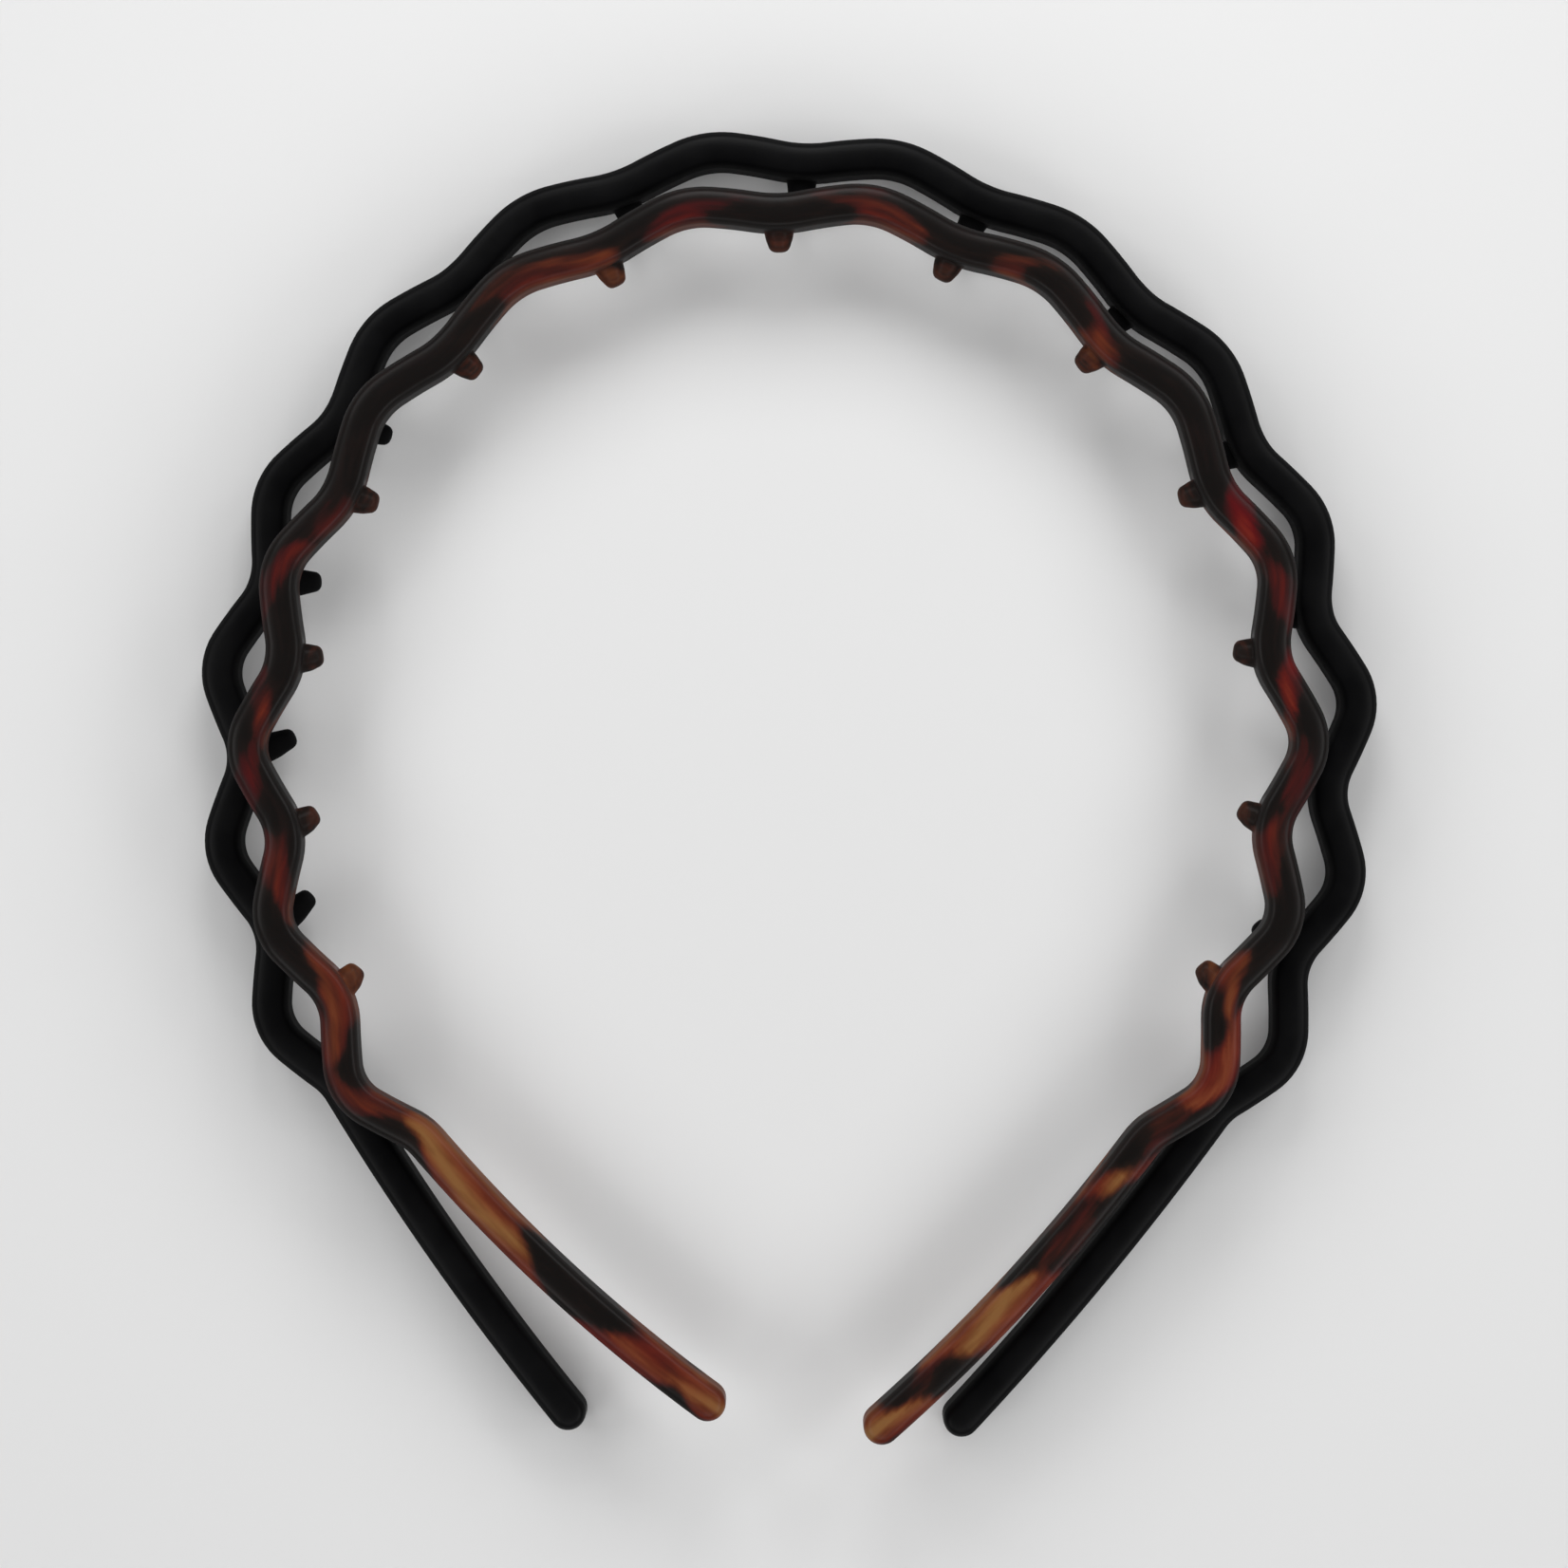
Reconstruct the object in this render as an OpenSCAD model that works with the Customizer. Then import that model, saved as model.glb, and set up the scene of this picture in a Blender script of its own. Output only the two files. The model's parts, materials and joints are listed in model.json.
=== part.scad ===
// Set of two wavy moulded headbands, a black one lying flat and a tortoiseshell one laid on top of it.
// Each band is a C of constant section that snakes in and out in its own plane, with a blunt comb
// tooth on the inner side of every dip, and ends in two smooth arms with rounded tips.
// +Z is the direction of the band's depth, +Y points to the crown, and X runs from side to side.
// A band's centre line is a chain of arcs. Every arc is one [length, turn] pair, the turn in degrees.

/* [Section] */
// Thickness of the band, measured towards the head
band_thick = 4.1; // [3:0.1:6]
// Depth of the band, the height it stands when it lies flat
band_depth = 7; // [5:0.5:12]
// Radius that rounds the long edges of the band
edge_r = 0.9; // [0.3:0.1:1.3]

/* [Waves] */
// Length of one wave along the black band
black_pitch = 21.6; // [17:0.1:26]
// How much shorter one wave of the tortoiseshell band is
pitch_step = 0.5; // [0:0.1:1.5]
// Height of the two waves next to the crown, from dip to crest
crown_rise = 1.7; // [0.8:0.1:3]
// Height of the waves at the sides, from dip to crest
side_rise = 3.4; // [1:0.1:4.4]
// Share of a wave that is rounded, the rest being its flanks
round_share = 0.55; // [0.45:0.05:0.9]

/* [Arms] */
// Length of a smooth arm of the black band, from the last dip to the tip
black_arm_l = 46.2; // [25:0.1:60]
// Length of a smooth arm of the tortoiseshell band, from the last dip to the tip
tortoise_arm_l = 44.7; // [25:0.1:60]

/* [Bend] */
// Turn of the black band's left half over the crown waves, side waves, lower waves and arm
black_left_bend = [43.3, 50.4, 30, 7.9]; // [0:0.1:65]
// Turn of the black band's right half over the same stretches
black_right_bend = [41.1, 50.2, 32.3, 7]; // [0:0.1:65]
// Turn of the tortoiseshell band's left half over the same stretches
tortoise_left_bend = [42.6, 55.1, 31.8, 13]; // [0:0.1:65]
// Turn of the tortoiseshell band's right half over the same stretches
tortoise_right_bend = [45.8, 54.2, 28.2, 11.6]; // [0:0.1:65]

/* [Teeth] */
// How far a tooth of the black band stands out from its inner face
black_tooth_l = 3.9; // [1.5:0.1:4.5]
// How far a tooth of the tortoiseshell band stands out from its inner face
tortoise_tooth_l = 2.3; // [1.5:0.1:4]
// Width of a tooth where it leaves the band
tooth_base_w = 3.6; // [2.4:0.1:4]
// Width of a tooth just below its rounded tip
tooth_tip_w = 2; // [1.2:0.1:2.2]
// How far the last tooth of each half leans towards the crown, in degrees
tooth_lean = 27; // [0:1:35]

/* [Placing] */
// Turn of the black band about its crown, anticlockwise from above
black_turn = -2.5; // [-6:0.1:6]
// Turn of the tortoiseshell band about its crown
tortoise_turn = 1.3; // [-6:0.1:6]
// Offset of the tortoiseshell crown from the black crown, to the right and towards the head
tortoise_shift = [-2.7, -6.4]; // [-12:0.1:12]
// Gap between the two stacked bands
stack_gap = 0.1; // [0.05:0.05:0.5]

/* [Flex] */
// Running clearance in the rounded knuckles that stand for the bands' springy bending
knuckle_gap = 0.1; // [0.05:0.01:0.2]

/* [Hidden] */

$fn = 64;
black_col = [0.05, 0.05, 0.055];
tortoise_col = [0.3, 0.12, 0.06];
LEFT = -1;
RIGHT = 1;

// The skin's fineness: largest turn and length of one facet along the band, facets on a rounded edge,
// turn of one facet round an end, and facets on the ball of a tooth
facet_turn = 12;
facet_l = 8;
corner_steps = 2;
end_turn = 18;
ball_steps = 4;

// Length of one wave along the tortoiseshell band
tortoise_pitch = black_pitch - pitch_step;

// How deep a tooth's root reaches into the band before it is cut to the band's face
tooth_root = 1.3;
// Turn of a tooth about its own axis, which keeps its seam off the band's facet edges
tooth_seam = 40;
// How far the cutter of a knuckle's socket runs past the band's faces
socket_over = 1;

// Waves in a half band, and how many of them each of the three waved stretches holds
stretch_waves = [2, 3, 2];
wave_count = 7;
// Links that make one wave: half a dip, flank, crest, flank, half a dip
wave_links = 5;
// The last wave that keeps the crown's height, and the first one that has the sides' height
last_crown_wave = 1;
first_side_wave = 4;
// The flex knuckle stands in the middle of this link, the first flank of the second wave
knuckle_link = wave_links + 1;
arm_link = wave_count * wave_links;

// ---- the chain of arcs ---------------------------------------------------------------------

function stretch_of(wave) = wave < stretch_waves[0] ? 0 : wave < stretch_waves[0] + stretch_waves[1] ? 1 : 2;
function growth_of(wave) = (wave - last_crown_wave) / (first_side_wave - last_crown_wave);
function rise_of(wave) = crown_rise + (side_rise - crown_rise) * max(0, min(1, growth_of(wave)));

// Extra turn per millimetre of a crest that lifts the wave by its rise
function crest_bend(wave, pitch) =
    16 * rise_of(wave) / (pitch * pitch * round_share * (2 - round_share)) * 180 / PI;

function wave_chain(wave, pitch, bend) =
    let (
        base = bend[stretch_of(wave)] / (stretch_waves[stretch_of(wave)] * pitch),
        extra = crest_bend(wave, pitch),
        round_l = round_share * pitch / 4,
        flank_l = (1 - round_share) * pitch / 2
    )
    [
        [round_l, (base - extra) * round_l],
        [flank_l, base * flank_l],
        [2 * round_l, (base + extra) * 2 * round_l],
        [flank_l, base * flank_l],
        [round_l, (base - extra) * round_l]
    ];

// The arm's own arc stops short of the tip by the radius of its round end
function half_chain(pitch, bend, arm_l) =
    concat(
        [for (wave = [0:wave_count - 1]) each wave_chain(wave, pitch, bend)],
        [[arm_l - band_thick / 2, bend[3]]]
    );

// A pose is [x, y, heading], and a half band starts at the crown with heading 0 and turns clockwise
function step(pose, link) =
    let (
        half_turn = link[1] / 2,
        chord = abs(half_turn) < 0.001 ? link[0] : link[0] * sin(half_turn) / (half_turn * PI / 180),
        way = pose[2] - half_turn
    )
    [pose[0] + chord * cos(way), pose[1] + chord * sin(way), pose[2] - link[1]];

function poses(chain, i = 0, pose = [0, 0, 0]) =
    i == len(chain) ? [pose] : concat([pose], poses(chain, i + 1, step(pose, chain[i])));

// The pose part of the way along a link
function along(pose, link, share) = step(pose, link * share);
function knuckle_pose(chain) = along(poses(chain)[knuckle_link], chain[knuckle_link], 0.5);

black_left = half_chain(black_pitch, black_left_bend, black_arm_l);
black_right = half_chain(black_pitch, black_right_bend, black_arm_l);
tortoise_left = half_chain(tortoise_pitch, tortoise_left_bend, tortoise_arm_l);
tortoise_right = half_chain(tortoise_pitch, tortoise_right_bend, tortoise_arm_l);

// ---- placing on the surface, with the origin under the middle of the whole set ---------------

function turned(p, a) = [p[0] * cos(a) - p[1] * sin(a), p[0] * sin(a) + p[1] * cos(a)];

// Points of the outer face and round the tip of one half band, close enough to find its extremes
function outer_points(chain, side) =
    let (at = poses(chain))
    concat(
        [for (i = [0:len(chain) - 1], share = [0:0.05:1])
            let (p = along(at[i], chain[i], share))
            [side * (p[0] - band_thick / 2 * sin(p[2])), p[1] + band_thick / 2 * cos(p[2])]],
        [for (a = [0:5:360])
            let (p = at[len(chain)])
            [side * (p[0] + band_thick / 2 * cos(a)), p[1] + band_thick / 2 * sin(a)]]
    );

function band_points(left, right, turn, shift) =
    [for (p = concat(outer_points(left, LEFT), outer_points(right, RIGHT))) turned(p, turn) + shift];

set_points = concat(
    band_points(black_left, black_right, black_turn, [0, 0]),
    band_points(tortoise_left, tortoise_right, tortoise_turn, tortoise_shift)
);
set_x = [for (p = set_points) p[0]];
set_y = [for (p = set_points) p[1]];
set_middle = [(min(set_x) + max(set_x)) / 2, (min(set_y) + max(set_y)) / 2];

module place_black() {
    translate([-set_middle[0], -set_middle[1], 0])
        rotate([0, 0, black_turn])
            children();
}

module place_tortoise() {
    translate([tortoise_shift[0] - set_middle[0], tortoise_shift[1] - set_middle[1], band_depth + stack_gap])
        rotate([0, 0, tortoise_turn])
            children();
}

// ---- marks along a band ------------------------------------------------------------------------
// A mark is a pose at which the band's section is drawn. A fourth value, where it has one, is the
// share of the full thickness that the section has there.

// Marks along a link, without its far end
function link_marks(pose, link) =
    let (steps = max(ceil(abs(link[1]) / facet_turn), ceil(link[0] / facet_l)))
    [for (i = [0:steps - 1]) along(pose, link, i / steps)];

// Marks along the links first to last of a half band, with the far end
function stretch_marks(chain, first, last) =
    let (at = poses(chain))
    concat([for (i = [first:last]) each link_marks(at[i], chain[i])], [at[last + 1]]);

// Marks that round off an end, from its face outwards. way is 1 ahead of the pose and -1 behind it.
function end_marks(pose, way) =
    [for (a = [end_turn:end_turn:89])
        let (out = way * band_thick / 2 * sin(a))
        [pose[0] + out * cos(pose[2]), pose[1] + out * sin(pose[2]), pose[2], cos(a)]];

function reversed(list) = [for (i = [len(list) - 1:-1:0]) list[i]];

// The same marks on the other side of the crown, so that they lead up to it
function mirrored(marks) = reversed([for (m = marks) [-m[0], m[1], -m[2]]]);

function half_crown_marks(chain) =
    concat(
        stretch_marks(chain, 0, knuckle_link - 1),
        [knuckle_pose(chain)]
    );

function from_second(list) = [for (i = [1:len(list) - 1]) list[i]];

// ---- the moulding's own shapes -----------------------------------------------------------------

// Corner points of the rounded section at one mark
function ring(mark) =
    let (
        half_t = band_thick / 2 * (is_undef(mark[3]) ? 1 : mark[3]),
        r = min(edge_r, half_t * 0.9),
        half_d = band_depth / 2 - (edge_r - r)
    )
    [for (corner = [[1, 1, 0], [-1, 1, 90], [-1, -1, 180], [1, -1, 270]], a = [0:90 / corner_steps:90])
        let (
            across = corner[0] * (half_t - r) + r * cos(corner[2] + a),
            up = corner[1] * (half_d - r) + r * sin(corner[2] + a)
        )
        [mark[0] - across * sin(mark[2]), mark[1] + across * cos(mark[2]), band_depth / 2 + up]];

// The closed moulding along a list of marks
module moulding(marks) {
    rings = [for (m = marks) ring(m)];
    n = len(rings[0]);
    last = (len(rings) - 1) * n;
    polyhedron(
        points = [for (r = rings) each r],
        faces = concat(
            [[for (j = [0:n - 1]) j]],
            [for (i = [0:len(rings) - 2], j = [0:n - 1])
                let (k = (j + 1) % n)
                [i * n + k, i * n + j, (i + 1) * n + j, (i + 1) * n + k]],
            [[for (j = [n - 1:-1:0]) last + j]]
        )
    );
}

// Mirrors a right half into a left one
module on_side(side) {
    mirror([side == LEFT ? 1 : 0, 0, 0]) children();
}

// A comb tooth: a blunt cone with a ball tip, which points along +X from the band's centre line
module tooth(tooth_l) {
    ball_r = tooth_tip_w / 2;
    base_r = tooth_base_w / 2;
    root_x = band_thick / 2;
    ball_x = root_x + tooth_l - ball_r;
    touch = acos(ball_r / norm([base_r, ball_x - root_x])) - atan2(ball_x - root_x, base_r);
    rotate([0, 90, 0]) rotate([0, 0, tooth_seam])
        rotate_extrude($fn = 24)
            polygon(concat(
                [[0, root_x - tooth_root], [base_r, root_x - tooth_root], [base_r, root_x]],
                [for (i = [0:ball_steps - 1])
                    let (a = touch + (90 - touch) * i / ball_steps)
                    [ball_r * cos(a), ball_x + ball_r * sin(a)]],
                [[0, ball_x + ball_r]]
            ));
}

// A tooth at one pose, cut to sit on the moulding along the marks
module seated_tooth(pose, marks, tooth_l) {
    difference() {
        translate([pose[0], pose[1], band_depth / 2]) rotate([0, 0, pose[2] - 90]) tooth(tooth_l);
        moulding(marks);
    }
}

// The further a tooth stands from the crown, the more it leans back towards it
function lean_of(dip) = tooth_lean * dip / (wave_count - 1);

module tooth_in_dip(chain, dip, tooth_l) {
    link = dip * wave_links;
    seated_tooth(poses(chain)[link] - [0, 0, lean_of(dip)], stretch_marks(chain, link - 2, link), tooth_l);
}

module knuckle_socket(chain) {
    p = knuckle_pose(chain);
    translate([p[0], p[1], -socket_over])
        cylinder(r = band_thick / 2 + knuckle_gap, h = band_depth + 2 * socket_over);
}

// ---- the regions of one band -------------------------------------------------------------------

module crown_band(left, right) {
    difference() {
        moulding(concat(mirrored(half_crown_marks(left)), from_second(half_crown_marks(right))));
        on_side(LEFT) knuckle_socket(left);
        on_side(RIGHT) knuckle_socket(right);
    }
}

module crown_teeth(left, right, tooth_l) {
    seated_tooth(
        poses(right)[0],
        concat(mirrored(stretch_marks(left, 0, 0)), from_second(stretch_marks(right, 0, 0))),
        tooth_l
    );
    on_side(LEFT) tooth_in_dip(left, 1, tooth_l);
    on_side(RIGHT) tooth_in_dip(right, 1, tooth_l);
}

module side_band(chain, side) {
    p = knuckle_pose(chain);
    on_side(side)
        moulding(concat(
            reversed(end_marks(p, -1)),
            [p],
            stretch_marks(chain, knuckle_link + 1, arm_link - 1)
        ));
}

module side_teeth(chain, side, tooth_l) {
    on_side(side)
        for (dip = [2:wave_count - 1]) tooth_in_dip(chain, dip, tooth_l);
}

module arm(chain, side) {
    on_side(side)
        moulding(concat(
            stretch_marks(chain, arm_link, arm_link),
            end_marks(poses(chain)[arm_link + 1], 1)
        ));
}

// ---- the sub-parts ----------------------------------------------------------------------------

module black_crown_band() { color(black_col) place_black() crown_band(black_left, black_right); }
module black_crown_teeth() { color(black_col) place_black() crown_teeth(black_left, black_right, black_tooth_l); }
module black_left_side_band() { color(black_col) place_black() side_band(black_left, LEFT); }
module black_left_teeth() { color(black_col) place_black() side_teeth(black_left, LEFT, black_tooth_l); }
module black_left_arm() { color(black_col) place_black() arm(black_left, LEFT); }
module black_right_side_band() { color(black_col) place_black() side_band(black_right, RIGHT); }
module black_right_teeth() { color(black_col) place_black() side_teeth(black_right, RIGHT, black_tooth_l); }
module black_right_arm() { color(black_col) place_black() arm(black_right, RIGHT); }
module tortoise_crown_band() { color(tortoise_col) place_tortoise() crown_band(tortoise_left, tortoise_right); }
module tortoise_crown_teeth() {
    color(tortoise_col) place_tortoise() crown_teeth(tortoise_left, tortoise_right, tortoise_tooth_l);
}
module tortoise_left_side_band() { color(tortoise_col) place_tortoise() side_band(tortoise_left, LEFT); }
module tortoise_left_teeth() {
    color(tortoise_col) place_tortoise() side_teeth(tortoise_left, LEFT, tortoise_tooth_l);
}
module tortoise_left_arm() { color(tortoise_col) place_tortoise() arm(tortoise_left, LEFT); }
module tortoise_right_side_band() { color(tortoise_col) place_tortoise() side_band(tortoise_right, RIGHT); }
module tortoise_right_teeth() {
    color(tortoise_col) place_tortoise() side_teeth(tortoise_right, RIGHT, tortoise_tooth_l);
}
module tortoise_right_arm() { color(tortoise_col) place_tortoise() arm(tortoise_right, RIGHT); }

black_crown_band();
black_crown_teeth();
black_left_side_band();
black_left_teeth();
black_left_arm();
black_right_side_band();
black_right_teeth();
black_right_arm();
tortoise_crown_band();
tortoise_crown_teeth();
tortoise_left_side_band();
tortoise_left_teeth();
tortoise_left_arm();
tortoise_right_side_band();
tortoise_right_teeth();
tortoise_right_arm();
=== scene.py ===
# %% [markdown]
# # A set of two wavy moulded headbands
# Each headband is one plastic moulding: a strip of constant section that snakes in and out in its own
# plane, with a blunt comb tooth on the inner side of every dip, and two smooth arms with round tips.
# The black one lies flat and the tortoiseshell one lies on top of it. The frame comes first, because it
# says where both bands are, how deep they are, and where each of them bends.

# %% Load the frame
import json
import math

import bmesh
import bpy
import numpy as np
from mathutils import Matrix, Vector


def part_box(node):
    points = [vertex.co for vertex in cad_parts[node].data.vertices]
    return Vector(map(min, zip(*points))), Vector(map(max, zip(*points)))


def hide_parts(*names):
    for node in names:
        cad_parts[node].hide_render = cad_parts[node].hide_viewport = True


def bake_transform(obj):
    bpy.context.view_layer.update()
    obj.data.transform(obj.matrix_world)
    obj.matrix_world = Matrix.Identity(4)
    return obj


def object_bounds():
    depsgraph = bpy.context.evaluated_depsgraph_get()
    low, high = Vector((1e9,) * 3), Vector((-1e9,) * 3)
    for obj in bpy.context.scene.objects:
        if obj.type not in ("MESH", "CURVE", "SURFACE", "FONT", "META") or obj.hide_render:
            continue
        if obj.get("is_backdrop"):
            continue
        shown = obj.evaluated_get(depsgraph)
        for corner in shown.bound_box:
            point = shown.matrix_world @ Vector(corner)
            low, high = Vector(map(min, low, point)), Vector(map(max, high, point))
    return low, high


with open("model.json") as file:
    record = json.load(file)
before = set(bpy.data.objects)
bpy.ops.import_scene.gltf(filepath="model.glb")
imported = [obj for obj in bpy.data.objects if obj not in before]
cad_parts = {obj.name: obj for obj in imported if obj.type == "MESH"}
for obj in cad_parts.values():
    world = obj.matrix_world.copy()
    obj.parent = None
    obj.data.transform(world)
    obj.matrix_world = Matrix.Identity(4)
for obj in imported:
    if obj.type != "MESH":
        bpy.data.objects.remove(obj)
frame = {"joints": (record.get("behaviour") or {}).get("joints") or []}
cad_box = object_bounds()
MM = 0.001
joints = {joint["name"]: joint for joint in frame["joints"]}

# %% [markdown]
# ## The view
# The set is seen from straight above, from a little over half a metre, with the crown at the top. A long
# lens keeps the far and near edges nearly the same size. The view's width is a length on the plane
# through the middle of the two bands, so the lens follows from two distances and the sensor's width.

# %% Camera
VIEW_CENTRE = (-0.6 * MM, 0.05 * MM)
CAMERA_HEIGHT = 600 * MM
VIEW_WIDTH = 176.4 * MM
VIEW_PLANE = 7 * MM
SENSOR = 36

camera = bpy.data.objects.new("camera", bpy.data.cameras.new("camera"))
camera.data.sensor_width = SENSOR
camera.data.lens = SENSOR * (CAMERA_HEIGHT - VIEW_PLANE) / VIEW_WIDTH
camera.location = (*VIEW_CENTRE, CAMERA_HEIGHT)
camera.data.clip_start = 0.01
bpy.context.scene.collection.objects.link(camera)
bpy.context.scene.camera = camera
print(f"lens {camera.data.lens:.1f} mm")

# %% [markdown]
# ## Colour and node helpers
# Every material and every node tree below is built with these two. Colours are written as sRGB hex
# values, the way a colour picker shows them, and the renderer wants them linear.

# %% Helpers
def linear(hex_colour):
    """The linear RGBA of an sRGB hex colour such as "c0ffee"."""
    parts = [int(hex_colour[i:i + 2], 16) / 255 for i in (0, 2, 4)]
    return [c / 12.92 if c <= 0.04045 else ((c + 0.055) / 1.055) ** 2.4 for c in parts] + [1]


def add_node(tree, kind, inputs=None, **settings):
    """Adds a node with its settings. An input takes a value, a socket, or a node's first output."""
    node = tree.nodes.new(kind)
    for name, value in settings.items():
        setattr(node, name, value)
    for key, value in (inputs or {}).items():
        if isinstance(value, bpy.types.Node):
            value = value.outputs[0]
        if isinstance(value, bpy.types.NodeSocket):
            tree.links.new(value, node.inputs[key])
        else:
            node.inputs[key].default_value = value
    return node

# %% [markdown]
# ## Floor and light
# A plain pale surface and soft light. One big light overhead would be simpler, but the top faces would
# mirror it and turn grey. So the lights stand in a ring round the set, fairly low and close, and nothing
# shines straight down. The band throws its soft shadow inwards, most of all at the crown, because the
# strongest light stands beyond it. The plain view transform keeps the near-black plastic near black.

# %% Floor
FLOOR_SIDE = 8
floor_mesh = bpy.data.meshes.new("floor")
corners = [(x * FLOOR_SIDE / 2, y * FLOOR_SIDE / 2, 0) for x, y in ((-1, -1), (1, -1), (1, 1), (-1, 1))]
floor_mesh.from_pydata(corners, [], [(0, 1, 2, 3)])
floor = bpy.data.objects.new("floor", floor_mesh)
bpy.context.scene.collection.objects.link(floor)
floor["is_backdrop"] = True

paper = bpy.data.materials.new("matt_white_paper")
paper.use_nodes = True
shader = paper.node_tree.nodes["Principled BSDF"]
for name, value in (("Base Color", linear("e6e6e6")), ("Roughness", 0.9), ("Specular IOR Level", 0.1)):
    shader.inputs[name].default_value = value
floor_mesh.materials.append(paper)
print("floor", FLOOR_SIDE, "m wide")

# %% Lights
LIGHT_RING = 0.24
LIGHT_HEIGHT = 0.2
LIGHT_SIZE = 0.14
FILL_STRENGTH = 0.16
# Power in watts of each light, by its direction in degrees, 90 being beyond the crown
LIGHT_POWERS = {90: 0.31, 45: 0.17, 135: 0.15, 0: 0.15, 180: 0.15, 315: 0.16, 225: 0.14, 270: 0.11}
for direction, power in LIGHT_POWERS.items():
    name = f"softbox_{direction}"
    light = bpy.data.objects.new(name, bpy.data.lights.new(name, "AREA"))
    light.data.energy = power
    light.data.size = LIGHT_SIZE
    light.visible_camera = False
    turn = math.radians(direction)
    light.location = (LIGHT_RING * math.cos(turn), LIGHT_RING * math.sin(turn), LIGHT_HEIGHT)
    light.rotation_euler = (math.atan2(LIGHT_RING, LIGHT_HEIGHT), 0, turn + math.pi / 2)
    bpy.context.scene.collection.objects.link(light)

world = bpy.data.worlds.new("dim_studio")
world.use_nodes = True
world.node_tree.nodes["Background"].inputs["Color"].default_value = linear("ffffff")
world.node_tree.nodes["Background"].inputs["Strength"].default_value = FILL_STRENGTH
bpy.context.scene.world = world
bpy.context.scene.view_settings.view_transform = "Standard"
print(len(LIGHT_POWERS), "lights,", sum(LIGHT_POWERS.values()), "W")

# %% [markdown]
# ## The path of a band
# On the real moulding the middle of the strip is a chain of arcs: half a dip, a flank, a crest, a flank,
# half a dip, seven times over, and then one long arm. A crest turns more than the band's overall bend and
# a dip turns less, and that difference is what lifts each wave. The waves are low at the crown and grow
# towards the sides. A sine wave laid on a circle would look much the same, but the design is made of
# arcs, and the same few driving sizes as the design's give every arc here.

# %% Driving sizes
BAND_THICK = 4.1 * MM
EDGE_RADIUS = 0.9 * MM
CROWN_RISE, SIDE_RISE = 1.7 * MM, 3.4 * MM
ROUND_SHARE = 0.55
# Waves of half a band on the crown, the side and the lower stretch
STRETCH_WAVES = (2, 3, 2)
WAVES = sum(STRETCH_WAVES)
LAST_CROWN_WAVE, FIRST_SIDE_WAVE = 1, 4
# Arcs in a wave, and the one that the flex joint stands on, the second wave's first flank
WAVE_LINKS = 5
KNUCKLE_LINK = WAVE_LINKS + 1
ROOT_WIDTH, TIP_WIDTH = 3.6 * MM, 2 * MM
LAST_TOOTH_LEAN = 27

# Pitch of the waves, length of an arm, how far a tooth stands out, and the turn in degrees over the
# crown, side and lower waves and the arm, for the left and the right half
BANDS = {
    "black": {"pitch": 21.6 * MM, "arm": 46.2 * MM, "tooth": 3.9 * MM,
              "left": (43.3, 50.4, 30, 7.9), "right": (41.1, 50.2, 32.3, 7)},
    "tortoise": {"pitch": 21.1 * MM, "arm": 44.7 * MM, "tooth": 2.3 * MM,
                 "left": (42.6, 55.1, 31.8, 13), "right": (45.8, 54.2, 28.2, 11.6)},
}

# %% The chain of arcs
def rise_of(wave):
    """How high a wave stands from dip to crest."""
    growth = (wave - LAST_CROWN_WAVE) / (FIRST_SIDE_WAVE - LAST_CROWN_WAVE)
    return CROWN_RISE + (SIDE_RISE - CROWN_RISE) * min(max(growth, 0), 1)


def half_chain(pitch, arm, bend):
    """The links of half a band from the crown to the tip's centre, each a length and a clockwise turn."""
    links = []
    stretches = [stretch for stretch, count in enumerate(STRETCH_WAVES) for _ in range(count)]
    for wave, stretch in enumerate(stretches):
        base = math.radians(bend[stretch]) / (STRETCH_WAVES[stretch] * pitch)
        # A flank's slope is extra * rounding, and the wave rises by that slope over rounding + flank
        extra = 16 * rise_of(wave) / (pitch ** 2 * ROUND_SHARE * (2 - ROUND_SHARE))
        rounding, flank = ROUND_SHARE * pitch / 4, (1 - ROUND_SHARE) * pitch / 2
        links += [(rounding, (base - extra) * rounding), (flank, base * flank),
                  (2 * rounding, (base + extra) * 2 * rounding), (flank, base * flank),
                  (rounding, (base - extra) * rounding)]
    return links + [(arm - BAND_THICK / 2, math.radians(bend[3]))]


def step(pose, length, turn):
    """The pose (x, y, heading) after an arc of that length and clockwise turn."""
    x, y, heading = pose
    chord = length * (math.sin(turn / 2) / (turn / 2) if abs(turn) > 1e-6 else 1)
    way = heading - turn / 2
    return x + chord * math.cos(way), y + chord * math.sin(way), heading - turn


def pose_at(links, distance):
    """The pose at a distance along the chain."""
    pose = (0, 0, 0)
    for length, turn in links:
        if distance <= length + 1e-9:
            return step(pose, distance, turn * distance / length)
        pose = step(pose, length, turn)
        distance -= length
    return pose


def knuckle_distance(links):
    """How far from the crown the design's flex joint stands."""
    return sum(length for length, _ in links[:KNUCKLE_LINK]) + links[KNUCKLE_LINK][0] / 2


for name, band in BANDS.items():
    for side in ("left", "right"):
        band[side + "_links"] = half_chain(band["pitch"], band["arm"], band[side])
        total = sum(length for length, _ in band[side + "_links"]) + BAND_THICK / 2
        print(f"{name} {side} half: {total / MM:.1f} mm from crown to tip")

# %% [markdown]
# ## Placing the path in the frame
# The chain starts at its own crown. The frame knows two points of each band, its left and right flex
# joints, and the same two points are known on the chain. One turn and one shift take the pair onto the
# pair, and the distance that is left over shows that the path is the design's.

# %% Placement
SIDES = {"left": -1, "right": 1}


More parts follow.
